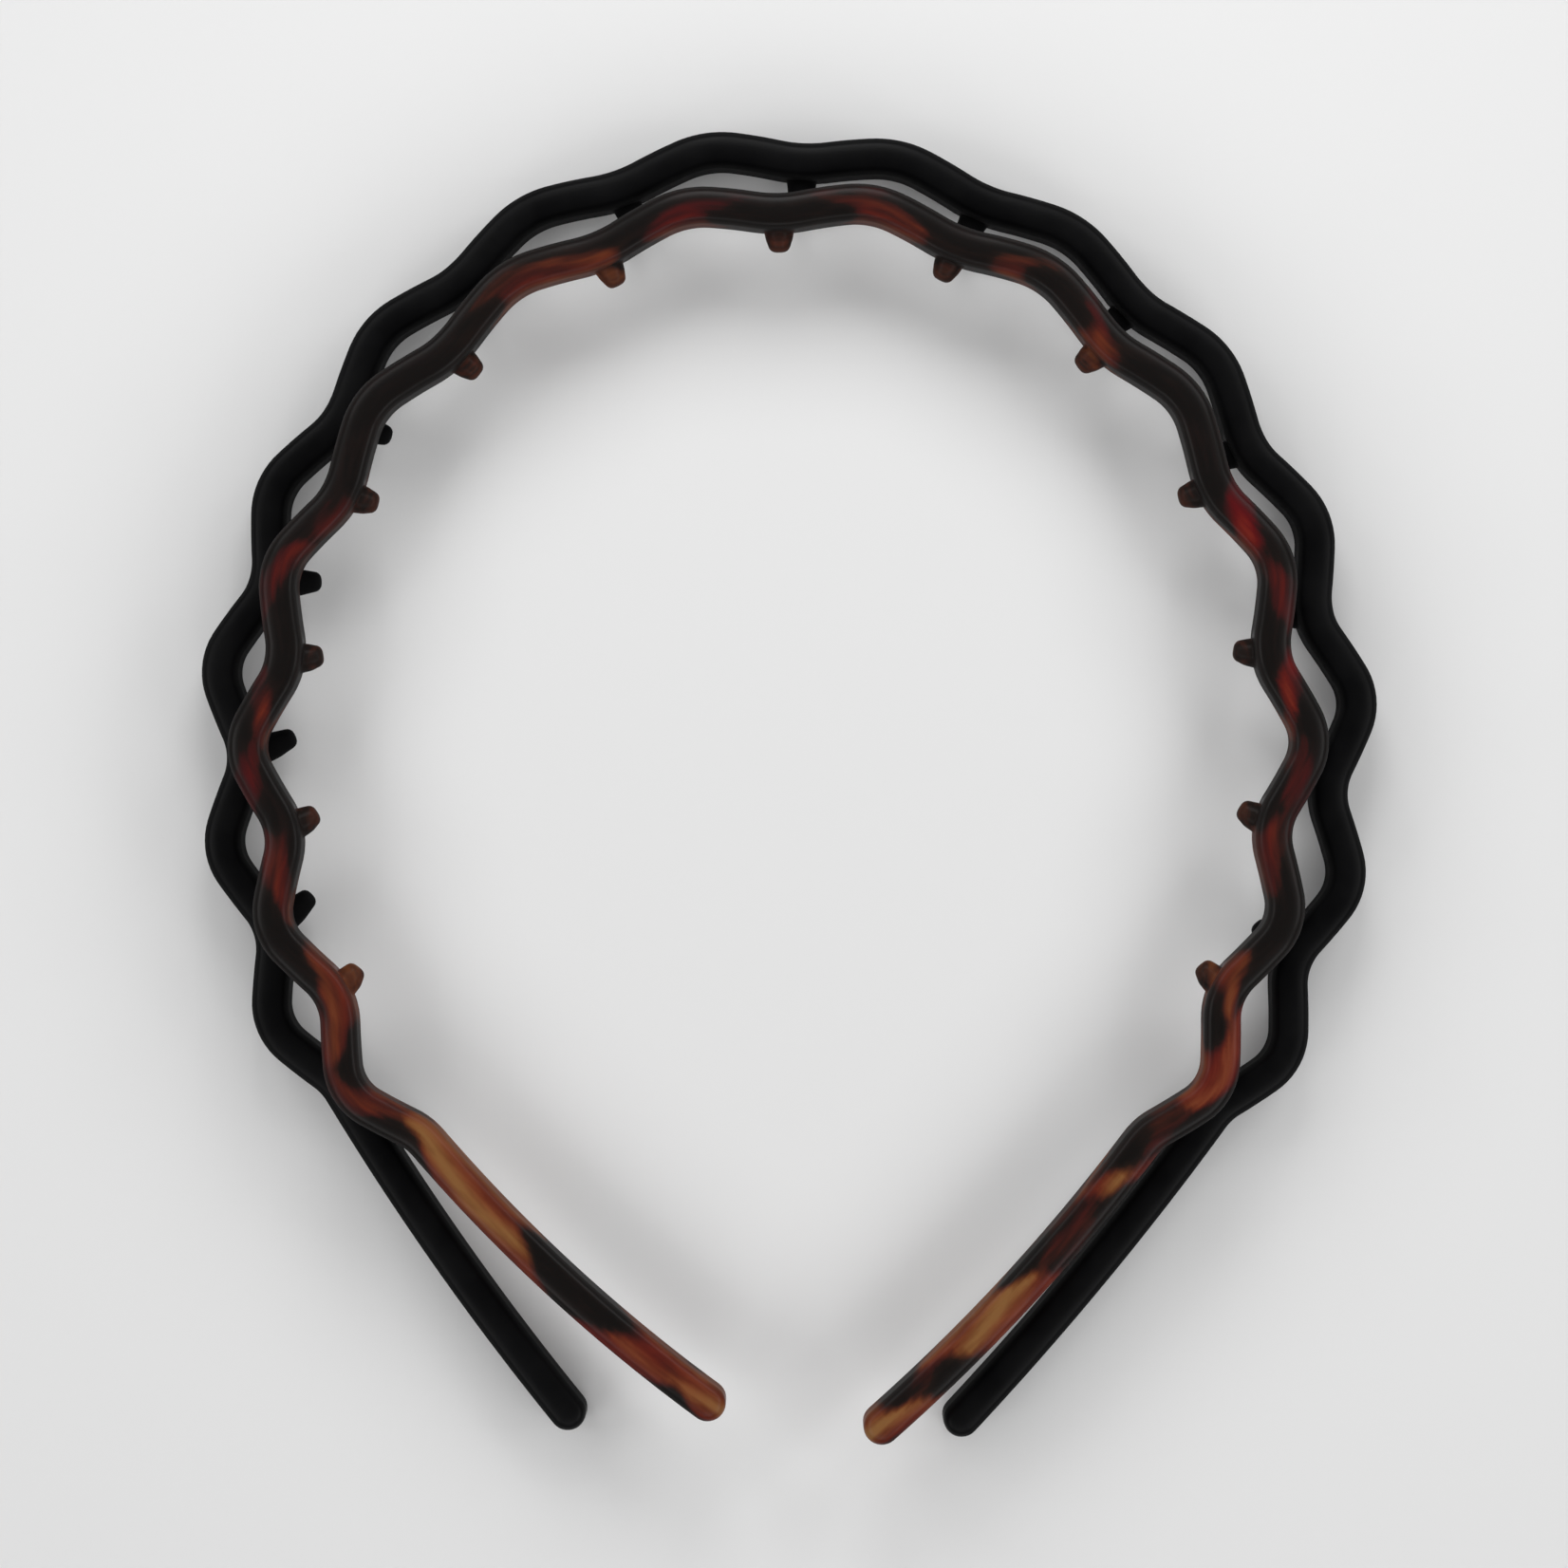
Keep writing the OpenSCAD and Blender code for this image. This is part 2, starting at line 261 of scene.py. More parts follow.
def placed(point, band):
    """A point of the chain's own plane, in the frame."""
    (x, y), turn, (shift_x, shift_y) = point, band["turn"], band["shift"]
    return (x * math.cos(turn) - y * math.sin(turn) + shift_x,
            x * math.sin(turn) + y * math.cos(turn) + shift_y)


for name, band in BANDS.items():
    own, real = {}, {}
    for side, sign in SIDES.items():
        links = band[side + "_links"]
        x, y, _ = pose_at(links, knuckle_distance(links))
        own[side] = np.array([sign * x, y])
        real[side] = np.array(joints[f"{name}_{side}_flex"]["pos_m"][:2])
    own_span, real_span = own["right"] - own["left"], real["right"] - real["left"]
    band["turn"] = math.atan2(real_span[1], real_span[0]) - math.atan2(own_span[1], own_span[0])
    band["shift"] = (0, 0)
    band["shift"] = tuple(real["left"] - np.array(placed(own["left"], band)))
    low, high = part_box(f"{name}_crown_band")
    band["mid_height"], band["depth"] = (low.z + high.z) / 2, high.z - low.z
    gap = np.linalg.norm(real_span) - np.linalg.norm(own_span)
    print(f"{name}: turned {math.degrees(band['turn']):.2f} degrees, left over {gap / MM:.4f} mm")

# %% [markdown]
# ## Marks for the rings of the mesh
# The moulding is a grid of points wrapped round the path: each row is a ring, each column a line along
# the band. The rows stand close together where a tooth rises and further apart elsewhere. Every row
# carries what the node tree needs to place it: where it is, which way is ahead and outward, how far it is
# from the middle of a tooth, and how far the strip's two sides have swung together to make the round tip.

# %% Rows along the band
TOOTH_RINGS = 16
TOOTH_FOOT = 2.25 * MM
# The share of a row that no tooth reaches
NO_TOOTH = 2
ROW_STEP = 0.6 * MM
ARM_STEP = 1.0 * MM
TIP_ROWS = 8


def lean_of(dip):
    """How far a tooth leans towards the crown: the further away it is, the more it leans."""
    return math.radians(LAST_TOOTH_LEAN) * dip / (WAVES - 1)


def tooth_middle(pitch, dip):
    """Where the middle of a tooth's root is. It leans about the middle of the strip."""
    return dip * pitch - BAND_THICK / 2 * math.tan(lean_of(dip))


def row_distances(pitch, links):
    """The rows as distance from the crown, share of the way off a tooth's middle, and the dip it is in."""
    rows = []
    last_tooth = WAVES - 1
    for dip in range(WAVES):
        middle = tooth_middle(pitch, dip)
        first = 0 if dip == 0 else -TOOTH_RINGS
        shares = [i / TOOTH_RINGS for i in range(first, TOOTH_RINGS + 1)]
        rows += [(middle + TOOTH_FOOT * share, share, dip) for share in shares]
        start = middle + TOOTH_FOOT
        stop = tooth_middle(pitch, dip + 1) - TOOTH_FOOT if dip < last_tooth else WAVES * pitch
        count = round((stop - start) / ROW_STEP)
        inner = range(1, count) if dip < last_tooth else range(1, count + 1)
        rows += [(start + (stop - start) * i / count, NO_TOOTH, dip) for i in inner]
    length = sum(length for length, _ in links)
    start = WAVES * pitch
    count = round((length - start) / ARM_STEP)
    rows += [(start + (length - start) * i / count, NO_TOOTH, last_tooth) for i in range(1, count + 1)]
    return rows

# %% What each row carries
VECTORS = ("ahead", "outward", "dip_place", "dip_ahead", "dip_outward")
NUMBERS = ("dip_share", "face_bend", "lean", "tip_turn", "distance", "width")


def half_marks(band, side):
    """The rows of half a band: their places, and a dict of the values that each of them carries."""
    links, sign = band[side + "_links"], SIDES[side]
    rows = row_distances(band["pitch"], links)
    dips = [pose_at(links, dip * band["pitch"]) for dip in range(WAVES)]
    dip_bends = [links[dip * WAVE_LINKS][1] / links[dip * WAVE_LINKS][0] for dip in range(WAVES)]

    def spot(pose):
        return (*placed((sign * pose[0], pose[1]), band), band["mid_height"])

    def way(heading, quarter):
        angle = heading + quarter * math.pi / 2
        x, y = sign * math.cos(angle), math.sin(angle)
        turn = band["turn"]
        return (x * math.cos(turn) - y * math.sin(turn), x * math.sin(turn) + y * math.cos(turn), 0)

    places, values = [], {key: [] for key in VECTORS + NUMBERS}

    def mark(distance, share, dip, tip_turn=0.0, width=1.0):
        pose = pose_at(links, distance)
        face_bend = -dip_bends[dip] / (1 - dip_bends[dip] * BAND_THICK / 2)
        places.append(spot(pose))
        heading, dip_heading = pose[2], dips[dip][2]
        vectors = (way(heading, 0), way(heading, 1), spot(dips[dip]),
                   way(dip_heading, 0), way(dip_heading, 1))
        numbers = (share, face_bend, lean_of(dip), tip_turn, distance, width)
        for key, value in zip(VECTORS + NUMBERS, vectors + numbers):
            values[key].append(value)

    # The first row is shrunk to a point, so it closes the cut end at the crown
    mark(0, NO_TOOTH, 0, width=0)
    for distance, share, dip in rows:
        mark(distance, share, dip)
    for i in range(1, TIP_ROWS + 1):
        mark(rows[-1][0], NO_TOOTH, WAVES - 1, tip_turn=math.pi / 2 * i / TIP_ROWS)
    return places, values


def marks_object(name, places, values):
    """Loose points that carry named values, for a node tree to read."""
    mesh = bpy.data.meshes.new(name)
    mesh.from_pydata(places, [], [])
    for key, value in values.items():
        value = np.array(value, np.float32)
        kind, field = ("FLOAT_VECTOR", "vector") if value.ndim == 2 else ("FLOAT", "value")
        mesh.attributes.new(key, kind, "POINT").data.foreach_set(field, value.ravel())
    marks = bpy.data.objects.new(name, mesh)
    bpy.context.scene.collection.objects.link(marks)
    return marks

# %% [markdown]
# ## The section
# The section is a rounded rectangle. Its inner side needs many points, because the teeth rise from it, and
# its outer side has as many, because the two meet round the tip. Its top and bottom are crowned by a few
# tenths of a millimetre, so light rolls across them and doesn't switch on and off at an edge.

# %% Section outline
CORNER_STEPS = 5
FLAT_STEPS = 4
CROWNING = 0.3 * MM


def section_outline(depth):
    """Points (across, 0, height) round the section, and each one's share of the inner side's height."""
    half_t, half_d = BAND_THICK / 2 - EDGE_RADIUS, depth / 2 - EDGE_RADIUS
    shares = [i / TOOTH_RINGS - 1 for i in range(2 * TOOTH_RINGS + 1)]
    points = [np.array((-BAND_THICK / 2, 0, share * half_d)) for share in shares]

    def corner_point(corner, turned):
        side, top, start = corner
        angle = math.radians(start - turned)
        return np.array((side * half_t + EDGE_RADIUS * math.cos(angle), 0,
                         top * half_d + EDGE_RADIUS * math.sin(angle)))

    corners = ((-1, 1, 180), (1, 1, 90), (1, -1, 0), (-1, -1, -90))
    for number, corner in enumerate(corners):
        points += [corner_point(corner, 90 * i / CORNER_STEPS) for i in range(1, CORNER_STEPS + 1)]
        if number < 3:
            here, there = points[-1], corner_point(corners[number + 1], 0)
            count = 2 * TOOTH_RINGS if number == 1 else FLAT_STEPS
            points += [here + (there - here) * i / count for i in range(1, count + 1)]
    for point in points:
        point[2] *= 1 - CROWNING / (depth / 2) * (point[0] / (BAND_THICK / 2)) ** 2
    shares += [NO_TOOTH] * (len(points) - len(shares))
    return points, shares


print(len(section_outline(BANDS["black"]["depth"])[0]), "points round the section")

# %% [markdown]
# ## The node tree that makes half a band
# The strip could be swept with Curve to Mesh and the teeth set on it one by one, but then each tooth would
# be a separate shell pushed into the strip. Here a flat grid is wrapped round the path instead, and on the
# inner face of each dip its squares are drawn up into a tooth: the square rings of the grid become
# circles, and each circle takes its radius and its rise from a small outline with a fillet at the root
# and a round at the tip. The strip and its teeth are then one skin, as they are on the moulding.

# %% Node tree: inputs
tree = bpy.data.node_groups.new("waved_moulding", "GeometryNodeTree")
SIZE_INPUTS = {"Thickness": BAND_THICK, "Root Width": ROOT_WIDTH, "Tip Width": TIP_WIDTH,
               "Root Fillet": 0.45 * MM, "Tip Round": 0.85 * MM}
for name, kind in (("Rows", "NodeSocketGeometry"), ("Section", "NodeSocketObject"),
                   ("Material", "NodeSocketMaterial"), ("Tooth Rings", "NodeSocketInt"),
                   ("Tooth Length", "NodeSocketFloat"),
                   *((name, "NodeSocketFloat") for name in SIZE_INPUTS)):
    tree.interface.new_socket(name, in_out="INPUT", socket_type=kind)
tree.interface.new_socket("Mesh", in_out="OUTPUT", socket_type="NodeSocketGeometry")
given = add_node(tree, "NodeGroupInput").outputs
print("inputs:", ", ".join(socket.name for socket in given if socket.name))

# %% Node tree: the tooth's outline
FILLET_STEPS = 8
root_radius = add_node(tree, "ShaderNodeMath", {0: given["Root Width"], 1: 0.5}, operation="MULTIPLY")
foot_radius = add_node(tree, "ShaderNodeMath", {0: root_radius, 1: given["Root Fillet"]})
tip_radius = add_node(tree, "ShaderNodeMath", {0: given["Tip Width"], 1: 0.5}, operation="MULTIPLY")
corner_points = [add_node(tree, "ShaderNodeCombineXYZ", places) for places in (
    {"X": foot_radius},
    {"X": root_radius},
    {"X": tip_radius, "Y": given["Tooth Length"]},
    {"Y": given["Tooth Length"]},
)]
corner_rounds = [None, given["Root Fillet"], given["Tip Round"], None]
index = add_node(tree, "GeometryNodeInputIndex")
picked = []
for kind, choices in (("VECTOR", [node.outputs[0] for node in corner_points]), ("FLOAT", corner_rounds)):
    switch = add_node(tree, "GeometryNodeIndexSwitch", {"Index": index}, data_type=kind)
    for number, choice in enumerate(choices):
        if number >= len(switch.index_switch_items):
            switch.index_switch_items.new()
        if choice:
            tree.links.new(choice, switch.inputs[str(number)])
    picked.append(switch)
outline = add_node(tree, "GeometryNodeMeshLine", {"Count": len(corner_points)})
outline = add_node(tree, "GeometryNodeSetPosition", {"Geometry": outline, "Position": picked[0]})
outline = add_node(tree, "GeometryNodeMeshToCurve", {"Mesh": outline})
outline = add_node(tree, "GeometryNodeFilletCurve",
                   {"Curve": outline, "Radius": picked[1], "Count": FILLET_STEPS, "Limit Radius": True},
                   mode="POLY")
outline_count = add_node(tree, "FunctionNodeIntegerMath", {0: given["Tooth Rings"], 1: 1})
outline = add_node(tree, "GeometryNodeResampleCurve", {"Curve": outline, "Count": outline_count})

# %% Node tree: the grid, and what each of its points reads
section = add_node(tree, "GeometryNodeObjectInfo", {"Object": given["Section"]}).outputs["Geometry"]
counts = [add_node(tree, "GeometryNodeAttributeDomainSize", {"Geometry": source})
          for source in (given["Rows"], section)]
grid = add_node(tree, "GeometryNodeMeshGrid", {"Vertices X": counts[0], "Vertices Y": counts[1]})
row = add_node(tree, "FunctionNodeIntegerMath", {0: index, 1: counts[1]}, operation="DIVIDE_FLOOR")
column = add_node(tree, "FunctionNodeIntegerMath", {0: index, 1: counts[1]}, operation="MODULO")

read = {}
for key, kind, source, at in (*((key, "FLOAT_VECTOR", given["Rows"], row) for key in VECTORS),
                              *((key, "FLOAT", given["Rows"], row) for key in NUMBERS),
                              ("side_share", "FLOAT", section, column)):
    value = add_node(tree, "GeometryNodeInputNamedAttribute", {"Name": key}, data_type=kind)
    read[key] = add_node(tree, "GeometryNodeSampleIndex",
                         {"Geometry": source, "Value": value, "Index": at}, data_type=kind)
position = add_node(tree, "GeometryNodeInputPosition")
for key, source, at in (("place", given["Rows"], row), ("on_section", section, column)):
    read[key] = add_node(tree, "GeometryNodeSampleIndex",
                         {"Geometry": source, "Value": position, "Index": at}, data_type="FLOAT_VECTOR")
print(len(read), "values read for every point of the grid")

# %% Node tree: going from one place to another
UP = (0, 0, 1)


def travel(start, *legs):
    """The place reached from start by going each leg's distance along its direction."""
    for direction, distance in legs:
        leg = add_node(tree, "ShaderNodeVectorMath", {0: direction, "Scale": distance}, operation="SCALE")
        start = add_node(tree, "ShaderNodeVectorMath", {0: start, 1: leg})
    return start

# %% Node tree: a point of the plain strip
on_section = add_node(tree, "ShaderNodeSeparateXYZ", {0: read["on_section"]}).outputs
across = add_node(tree, "ShaderNodeMath", {0: on_section["X"], 1: read["width"]}, operation="MULTIPLY")
height = add_node(tree, "ShaderNodeMath", {0: on_section["Z"], 1: read["width"]}, operation="MULTIPLY")
tip_cos = add_node(tree, "ShaderNodeMath", {0: read["tip_turn"]}, operation="COSINE")
tip_sin = add_node(tree, "ShaderNodeMath", {0: read["tip_turn"]}, operation="SINE")
from_middle = add_node(tree, "ShaderNodeMath", {0: across}, operation="ABSOLUTE")
tip_across = add_node(tree, "ShaderNodeMath", {0: across, 1: tip_cos}, operation="MULTIPLY")
tip_ahead = add_node(tree, "ShaderNodeMath", {0: from_middle, 1: tip_sin}, operation="MULTIPLY")
on_strip = travel(read["place"], (read["outward"], tip_across), (read["ahead"], tip_ahead), (UP, height))

# %% Node tree: where on a tooth a point is
reaches = [add_node(tree, "ShaderNodeMath", {0: read[key]}, operation="ABSOLUTE")
           for key in ("dip_share", "side_share")]
reach = add_node(tree, "ShaderNodeMath", {0: reaches[0], 1: reaches[1]}, operation="MAXIMUM")
closeness = add_node(tree, "ShaderNodeMath", {0: 1.0, 1: reach}, operation="SUBTRACT")
rings_in = add_node(tree, "ShaderNodeMath", {0: closeness, 1: given["Tooth Rings"]}, operation="MULTIPLY")
ring = add_node(tree, "ShaderNodeMath", {0: rings_in}, operation="ROUND")
on_tooth = add_node(tree, "ShaderNodeMath", {0: ring, 1: 0.5}, operation="GREATER_THAN")
profile = add_node(tree, "GeometryNodeSampleIndex",
                   {"Geometry": outline, "Value": position, "Index": ring}, data_type="FLOAT_VECTOR")
profile = add_node(tree, "ShaderNodeSeparateXYZ", {0: profile}).outputs
toward = add_node(tree, "ShaderNodeCombineXYZ", {"X": read["dip_share"], "Y": read["side_share"]})
toward = add_node(tree, "ShaderNodeVectorMath", {0: toward}, operation="NORMALIZE")
toward = add_node(tree, "ShaderNodeVectorMath", {0: toward, "Scale": profile["X"]}, operation="SCALE")
around = add_node(tree, "ShaderNodeSeparateXYZ", {0: toward}).outputs

# %% Node tree: the foot of a tooth
# It lies on the inner face, which falls away from the dip's plane with the square of the distance
half_thick = add_node(tree, "ShaderNodeMath", {0: given["Thickness"], 1: 0.5}, operation="MULTIPLY")
lean_cos = add_node(tree, "ShaderNodeMath", {0: read["lean"]}, operation="COSINE")
lean_sin = add_node(tree, "ShaderNodeMath", {0: read["lean"]}, operation="SINE")
lean_tan = add_node(tree, "ShaderNodeMath", {0: read["lean"]}, operation="TANGENT")
foot_shift = add_node(tree, "ShaderNodeMath", {0: half_thick, 1: lean_tan}, operation="MULTIPLY")
foot_ahead = add_node(tree, "ShaderNodeMath", {0: around["X"], 1: foot_shift}, operation="SUBTRACT")
fall = add_node(tree, "ShaderNodeMath", {0: foot_ahead, 1: foot_ahead}, operation="MULTIPLY")
for factor in (read["face_bend"], 0.5):
    fall = add_node(tree, "ShaderNodeMath", {0: fall, 1: factor}, operation="MULTIPLY")
foot_outward = add_node(tree, "ShaderNodeMath", {0: fall, 1: half_thick}, operation="SUBTRACT")

# %% Node tree: the rest of a tooth
# It stands on an axis that leans towards the crown. Over this share of its length the foot runs into it
FOOT_SHARE = 0.4
rise = add_node(tree, "ShaderNodeMath", {0: profile["Y"], 1: given["Tooth Length"]}, operation="DIVIDE")
inward = add_node(tree, "ShaderNodeMath", {0: half_thick, 1: profile["Y"]})
backward, downward = [add_node(tree, "ShaderNodeMath", {0: turned, 1: -1.0}, operation="MULTIPLY")
                      for turned in (lean_sin, lean_cos)]
cone = []
for turn_across, turn_along in ((lean_cos, backward), (backward, downward)):
    leaned = add_node(tree, "ShaderNodeMath", {0: inward, 1: turn_along}, operation="MULTIPLY")
    cone.append(add_node(tree, "ShaderNodeMath", {0: around["X"], 1: turn_across, 2: leaned},
                         operation="MULTIPLY_ADD"))
off_foot = add_node(tree, "ShaderNodeMapRange", {"Value": rise, "From Max": FOOT_SHARE},
                    interpolation_type="SMOOTHSTEP")
ahead, outward = [add_node(tree, "ShaderNodeMix", {"Factor": off_foot, 2: low, 3: high})
                  for low, high in zip((foot_ahead, foot_outward), cone)]
on_cone = travel(read["dip_place"], (read["dip_ahead"], ahead), (UP, around["Y"]),
                 (read["dip_outward"], outward))

# %% Node tree: the finished skin
MERGE_DISTANCE = 0.002 * MM
place = add_node(tree, "GeometryNodeSwitch", {"Switch": on_tooth, "False": on_strip, "True": on_cone},
                 input_type="VECTOR")
final_across = add_node(tree, "GeometryNodeSwitch",
                        {"Switch": on_tooth, "False": tip_across, "True": outward}, input_type="FLOAT")
final_rise = add_node(tree, "ShaderNodeMath", {0: rise, 1: on_tooth}, operation="MULTIPLY")
skin = grid
for key, value in (("along", read["distance"]), ("across", final_across), ("tooth_rise", final_rise)):
    skin = add_node(tree, "GeometryNodeStoreNamedAttribute",
                    {"Geometry": skin, "Name": key, "Value": value}, data_type="FLOAT", domain="POINT")
skin = add_node(tree, "GeometryNodeSetPosition", {"Geometry": skin, "Position": place})
skin = add_node(tree, "GeometryNodeMergeByDistance", {"Geometry": skin, "Distance": MERGE_DISTANCE})
skin = add_node(tree, "GeometryNodeSetShadeSmooth", {"Geometry": skin})
skin = add_node(tree, "GeometryNodeRealizeInstances", {"Geometry": skin})
skin = add_node(tree, "GeometryNodeSetMaterial", {"Geometry": skin, "Material": given["Material"]})
add_node(tree, "NodeGroupOutput", {0: skin})
print(len(tree.nodes), "nodes in", tree.name)

# %% [markdown]
# ## Satin-moulded black ABS
# The black band comes out of a mould with a finely blasted wall and isn't polished. To the eye that is a
# deep black with a broad, weak sheen, a very fine grain, and faint soft unevenness where the plastic
# shrank. The grain is drawn at a quarter of a millimetre, coarser than the real one, so that it shows.
# The walls are rougher still, or they would mirror the pale floor as a grey line along each edge.

# %% Black plastic
GRAIN = 0.25 * MM
SHRINK_MARK = 6 * MM
# Off the middle of the strip, the surface gets rougher from here to the wall
WALL_START = BAND_THICK / 2 - 0.6 * MM
WALL_ROUGHER = 0.4
# The part of the noise's range that is used, and what its two ends look like
NOISE_ENDS = (0.3, 0.7)
BLACKS = ("050506", "0c0c0d")
SATIN_ROUGHNESS = (0.34, 0.42)

black_abs = bpy.data.materials.new("satin_moulded_black_abs")
black_abs.use_nodes = True
nodes = black_abs.node_tree
shader = nodes.nodes["Principled BSDF"]
here = add_node(nodes, "ShaderNodeTexCoord").outputs["Object"]
grain = add_node(nodes, "ShaderNodeTexNoise", {"Vector": here, "Scale": 1 / GRAIN, "Detail": 2.0})
unevenness = add_node(nodes, "ShaderNodeTexNoise",
                      {"Vector": here, "Scale": 1 / SHRINK_MARK, "Detail": 3.0})
tint = add_node(nodes, "ShaderNodeValToRGB", {"Fac": unevenness})
for stop, place, colour in zip(tint.color_ramp.elements, NOISE_ENDS, BLACKS):
    stop.position, stop.color = place, linear(colour)
roughness = add_node(nodes, "ShaderNodeMapRange", {
    "Value": unevenness, "From Min": NOISE_ENDS[0], "From Max": NOISE_ENDS[1],
    "To Min": SATIN_ROUGHNESS[0], "To Max": SATIN_ROUGHNESS[1]})
off_middle = add_node(nodes, "ShaderNodeAttribute", attribute_name="across")
off_middle = add_node(nodes, "ShaderNodeMath", {0: off_middle.outputs["Fac"]}, operation="ABSOLUTE")
on_wall = add_node(nodes, "ShaderNodeMapRange", {"Value": off_middle, "From Min": WALL_START,
                                                 "From Max": BAND_THICK / 2, "To Max": WALL_ROUGHER})
roughness = add_node(nodes, "ShaderNodeMath", {0: roughness, 1: on_wall})
bump = add_node(nodes, "ShaderNodeBump", {"Height": grain, "Strength": 0.25, "Distance": 0.02 * MM})
for name, value in (("Base Color", tint), ("Roughness", roughness), ("Normal", bump)):
    nodes.links.new(value.outputs[0], shader.inputs[name])
for name, value in (("IOR", 1.53), ("Specular IOR Level", 0.08)):
    shader.inputs[name].default_value = value
print(black_abs.name, len(nodes.nodes), "nodes")

# %% [markdown]
# ## Polished tortoiseshell acetate
# Tortoiseshell plastic is near-black, dark red and amber granulate that was melted together, so its
# blotches have soft, ragged edges and are drawn out along the flow. A painted highlight runs down the
# middle as a streak of the brightest amber. The thin inner edge and the teeth get a painted glow and are
# warmer, for the light that thin plastic lets through. Noise alone would scatter the blotches anywhere,
# so they are a list of stretches along each half, which a maker can see and move. Each vertex gets a
# warmth and an amber share from the list, with the painted highlight and glow, and the material breaks
# them up with noise that is stretched along the band.

# %% The list of blotches
# Each blotch: where it starts and stops in mm from the crown, its warmth, its amber share, and how far
# it keeps to the inner side, the last three from 0 to 1
BLOTCHES = {
    "left": ((5, 14, 0.72, 0.05, 0.7), (22, 37, 0.72, 0.45, 0.75), (60, 66, 0.55, 0.1, 0.8),
             (72, 78, 0.5, 0.1, 0.2), (87.5, 92, 0.75, 0.2, 0.4), (94, 99, 0.5, 0.05, 0.1),
             (108, 114, 0.65, 0.25, 0.3), (122, 132, 0.75, 0.45, 0.3), (136, 143, 0.55, 0.3, 0.2),
             (146.5, 165, 1, 0.9, 0.15), (176, 187, 0.85, 0.35, 0.1), (187, 195, 0.95, 0.75, 0)),
    "right": ((6, 16, 0.7, 0.3, 0.6), (28, 32, 0.7, 0.5, 0.7), (37, 41, 0.7, 0.15, 0.4),
              (42.5, 45.5, 0.7, 0.7, 0.9), (64.5, 70, 0.75, 0.0, 0.2), (73, 79, 0.5, 0.1, 0.2),
              (87.5, 92, 0.8, 0.1, 0.1), (94, 102, 0.4, 0.1, 0.2), (104, 111, 0.65, 0.3, 0.5),
              (124, 129, 0.75, 0.5, 0.2), (130, 139, 0.85, 0.3, 0.1), (142, 149, 0.35, 0.4, 0.1),
              (150, 154, 0.9, 0.9, 0.1), (155, 166, 0.45, 0.3, 0.2), (167, 180, 1, 1, 0.1),
              (181, 186, 0.45, 0.5, 0.1), (187, 195, 1, 0.9, 0)),
}
print({side: len(blotches) for side, blotches in BLOTCHES.items()}, "blotches")

# %% Warmth and amber from the list, with a painted highlight and glow
EDGE_SOFTNESS = 2.0 * MM
# How far a blotch's edge runs on for each millimetre across the strip and down its wall
SLANT, DOWNWARD_SLANT = 1.7, 0.55
# Waves that make a blotch's edge ragged: how far, along which way, and how long the wave is
RAGGEDNESS = ((0.5 * MM, "across", 0.55 * MM), (0.3 * MM, "along", 0.7 * MM),
              (0.9 * MM, "drop", 1.3 * MM), (0.35 * MM, "drop", 0.45 * MM))
# The waves' shift in radians from one blotch to the next, so that no two edges are alike
NEXT_WAVE = 2.4
# The painted highlight streak down the middle, and what it and the painted glow of the thin places
# do to amber and warmth
HIGHLIGHT_WIDTH = 0.9 * MM
HIGHLIGHT_SWAY, SWAY_LENGTH = 0.6 * MM, 4 * MM
AMBER_OFF_HIGHLIGHT, AMBER_ON_HIGHLIGHT = 0.3, 0.85
WARMTH_OFF_HIGHLIGHT, WARMTH_ON_HIGHLIGHT = 0.8, 0.25
EDGE_START = 0.9
INNER_GLOW, EDGE_GLOW, TOOTH_GLOW, TOOTH_GLOW_WARMTH = 0.15, 0.35, 0.22, 0.4


# The blotches, then a painted highlight down the middle and a painted glow on the thin edge and teeth
def blotch_fields(side, along, across, tooth_rise, drop):
    """Warmth and amber share at every vertex. drop is how far it is below the strip's upper edge."""
    inner = np.clip(0.5 - across / BAND_THICK, 0, 1)
    warmth, amber_sum = np.zeros(len(along)), np.zeros(len(along))
    weight_sum = np.full(len(along), 1e-6)
    for number, (start, stop, strength, amber, keep_in) in enumerate(BLOTCHES[side]):
        centre, half = (start + stop) / 2 * MM, (stop - start) / 2 * MM
        # The flow draws each blotch out on a slant, to one side and the other by turns
        slanted = along + (-1) ** number * (SLANT * across + DOWNWARD_SLANT * drop)
        for amount, place, length in RAGGEDNESS:
            spread = {"across": across, "along": along, "drop": drop}[place]
            slanted = slanted + amount * np.sin(spread / length + NEXT_WAVE * number)
        outside = (np.abs(slanted - centre) - half) / EDGE_SOFTNESS
        presence = 0.5 - 0.5 * np.tanh(2 * outside)
        # One that keeps to the inner side fades towards the outer side
        presence = presence * np.clip(1.15 - keep_in * (1 - inner) * 1.6, 0, 1)
        warmth = np.maximum(warmth, strength * presence)
        amber_sum += amber * presence
        weight_sum += presence
    # The painted highlight makes the streak down the middle brightest, and a painted glow makes the thin
    # edge and teeth brighter than the strip
    highlight_streak = np.exp(-((across - HIGHLIGHT_SWAY * np.sin(along / SWAY_LENGTH)) / HIGHLIGHT_WIDTH) ** 2)
    edge = np.clip((inner - EDGE_START) / (1 - EDGE_START), 0, 1)
    amber = amber_sum / weight_sum * (AMBER_OFF_HIGHLIGHT + AMBER_ON_HIGHLIGHT * highlight_streak)
    amber = amber + INNER_GLOW * inner ** 3 + EDGE_GLOW * edge + TOOTH_GLOW * tooth_rise
    warmth = warmth * (WARMTH_OFF_HIGHLIGHT + WARMTH_ON_HIGHLIGHT * highlight_streak)
    warmth = np.maximum(warmth, TOOTH_GLOW_WARMTH * tooth_rise ** 0.3)
    return {"warmth": warmth, "amber": np.clip(amber, 0, 1)}

# %% Tortoiseshell: how warm each point is
SWIRL = 5 * MM
STREAK = 1.0 * MM
STRETCH_ALONG = 6

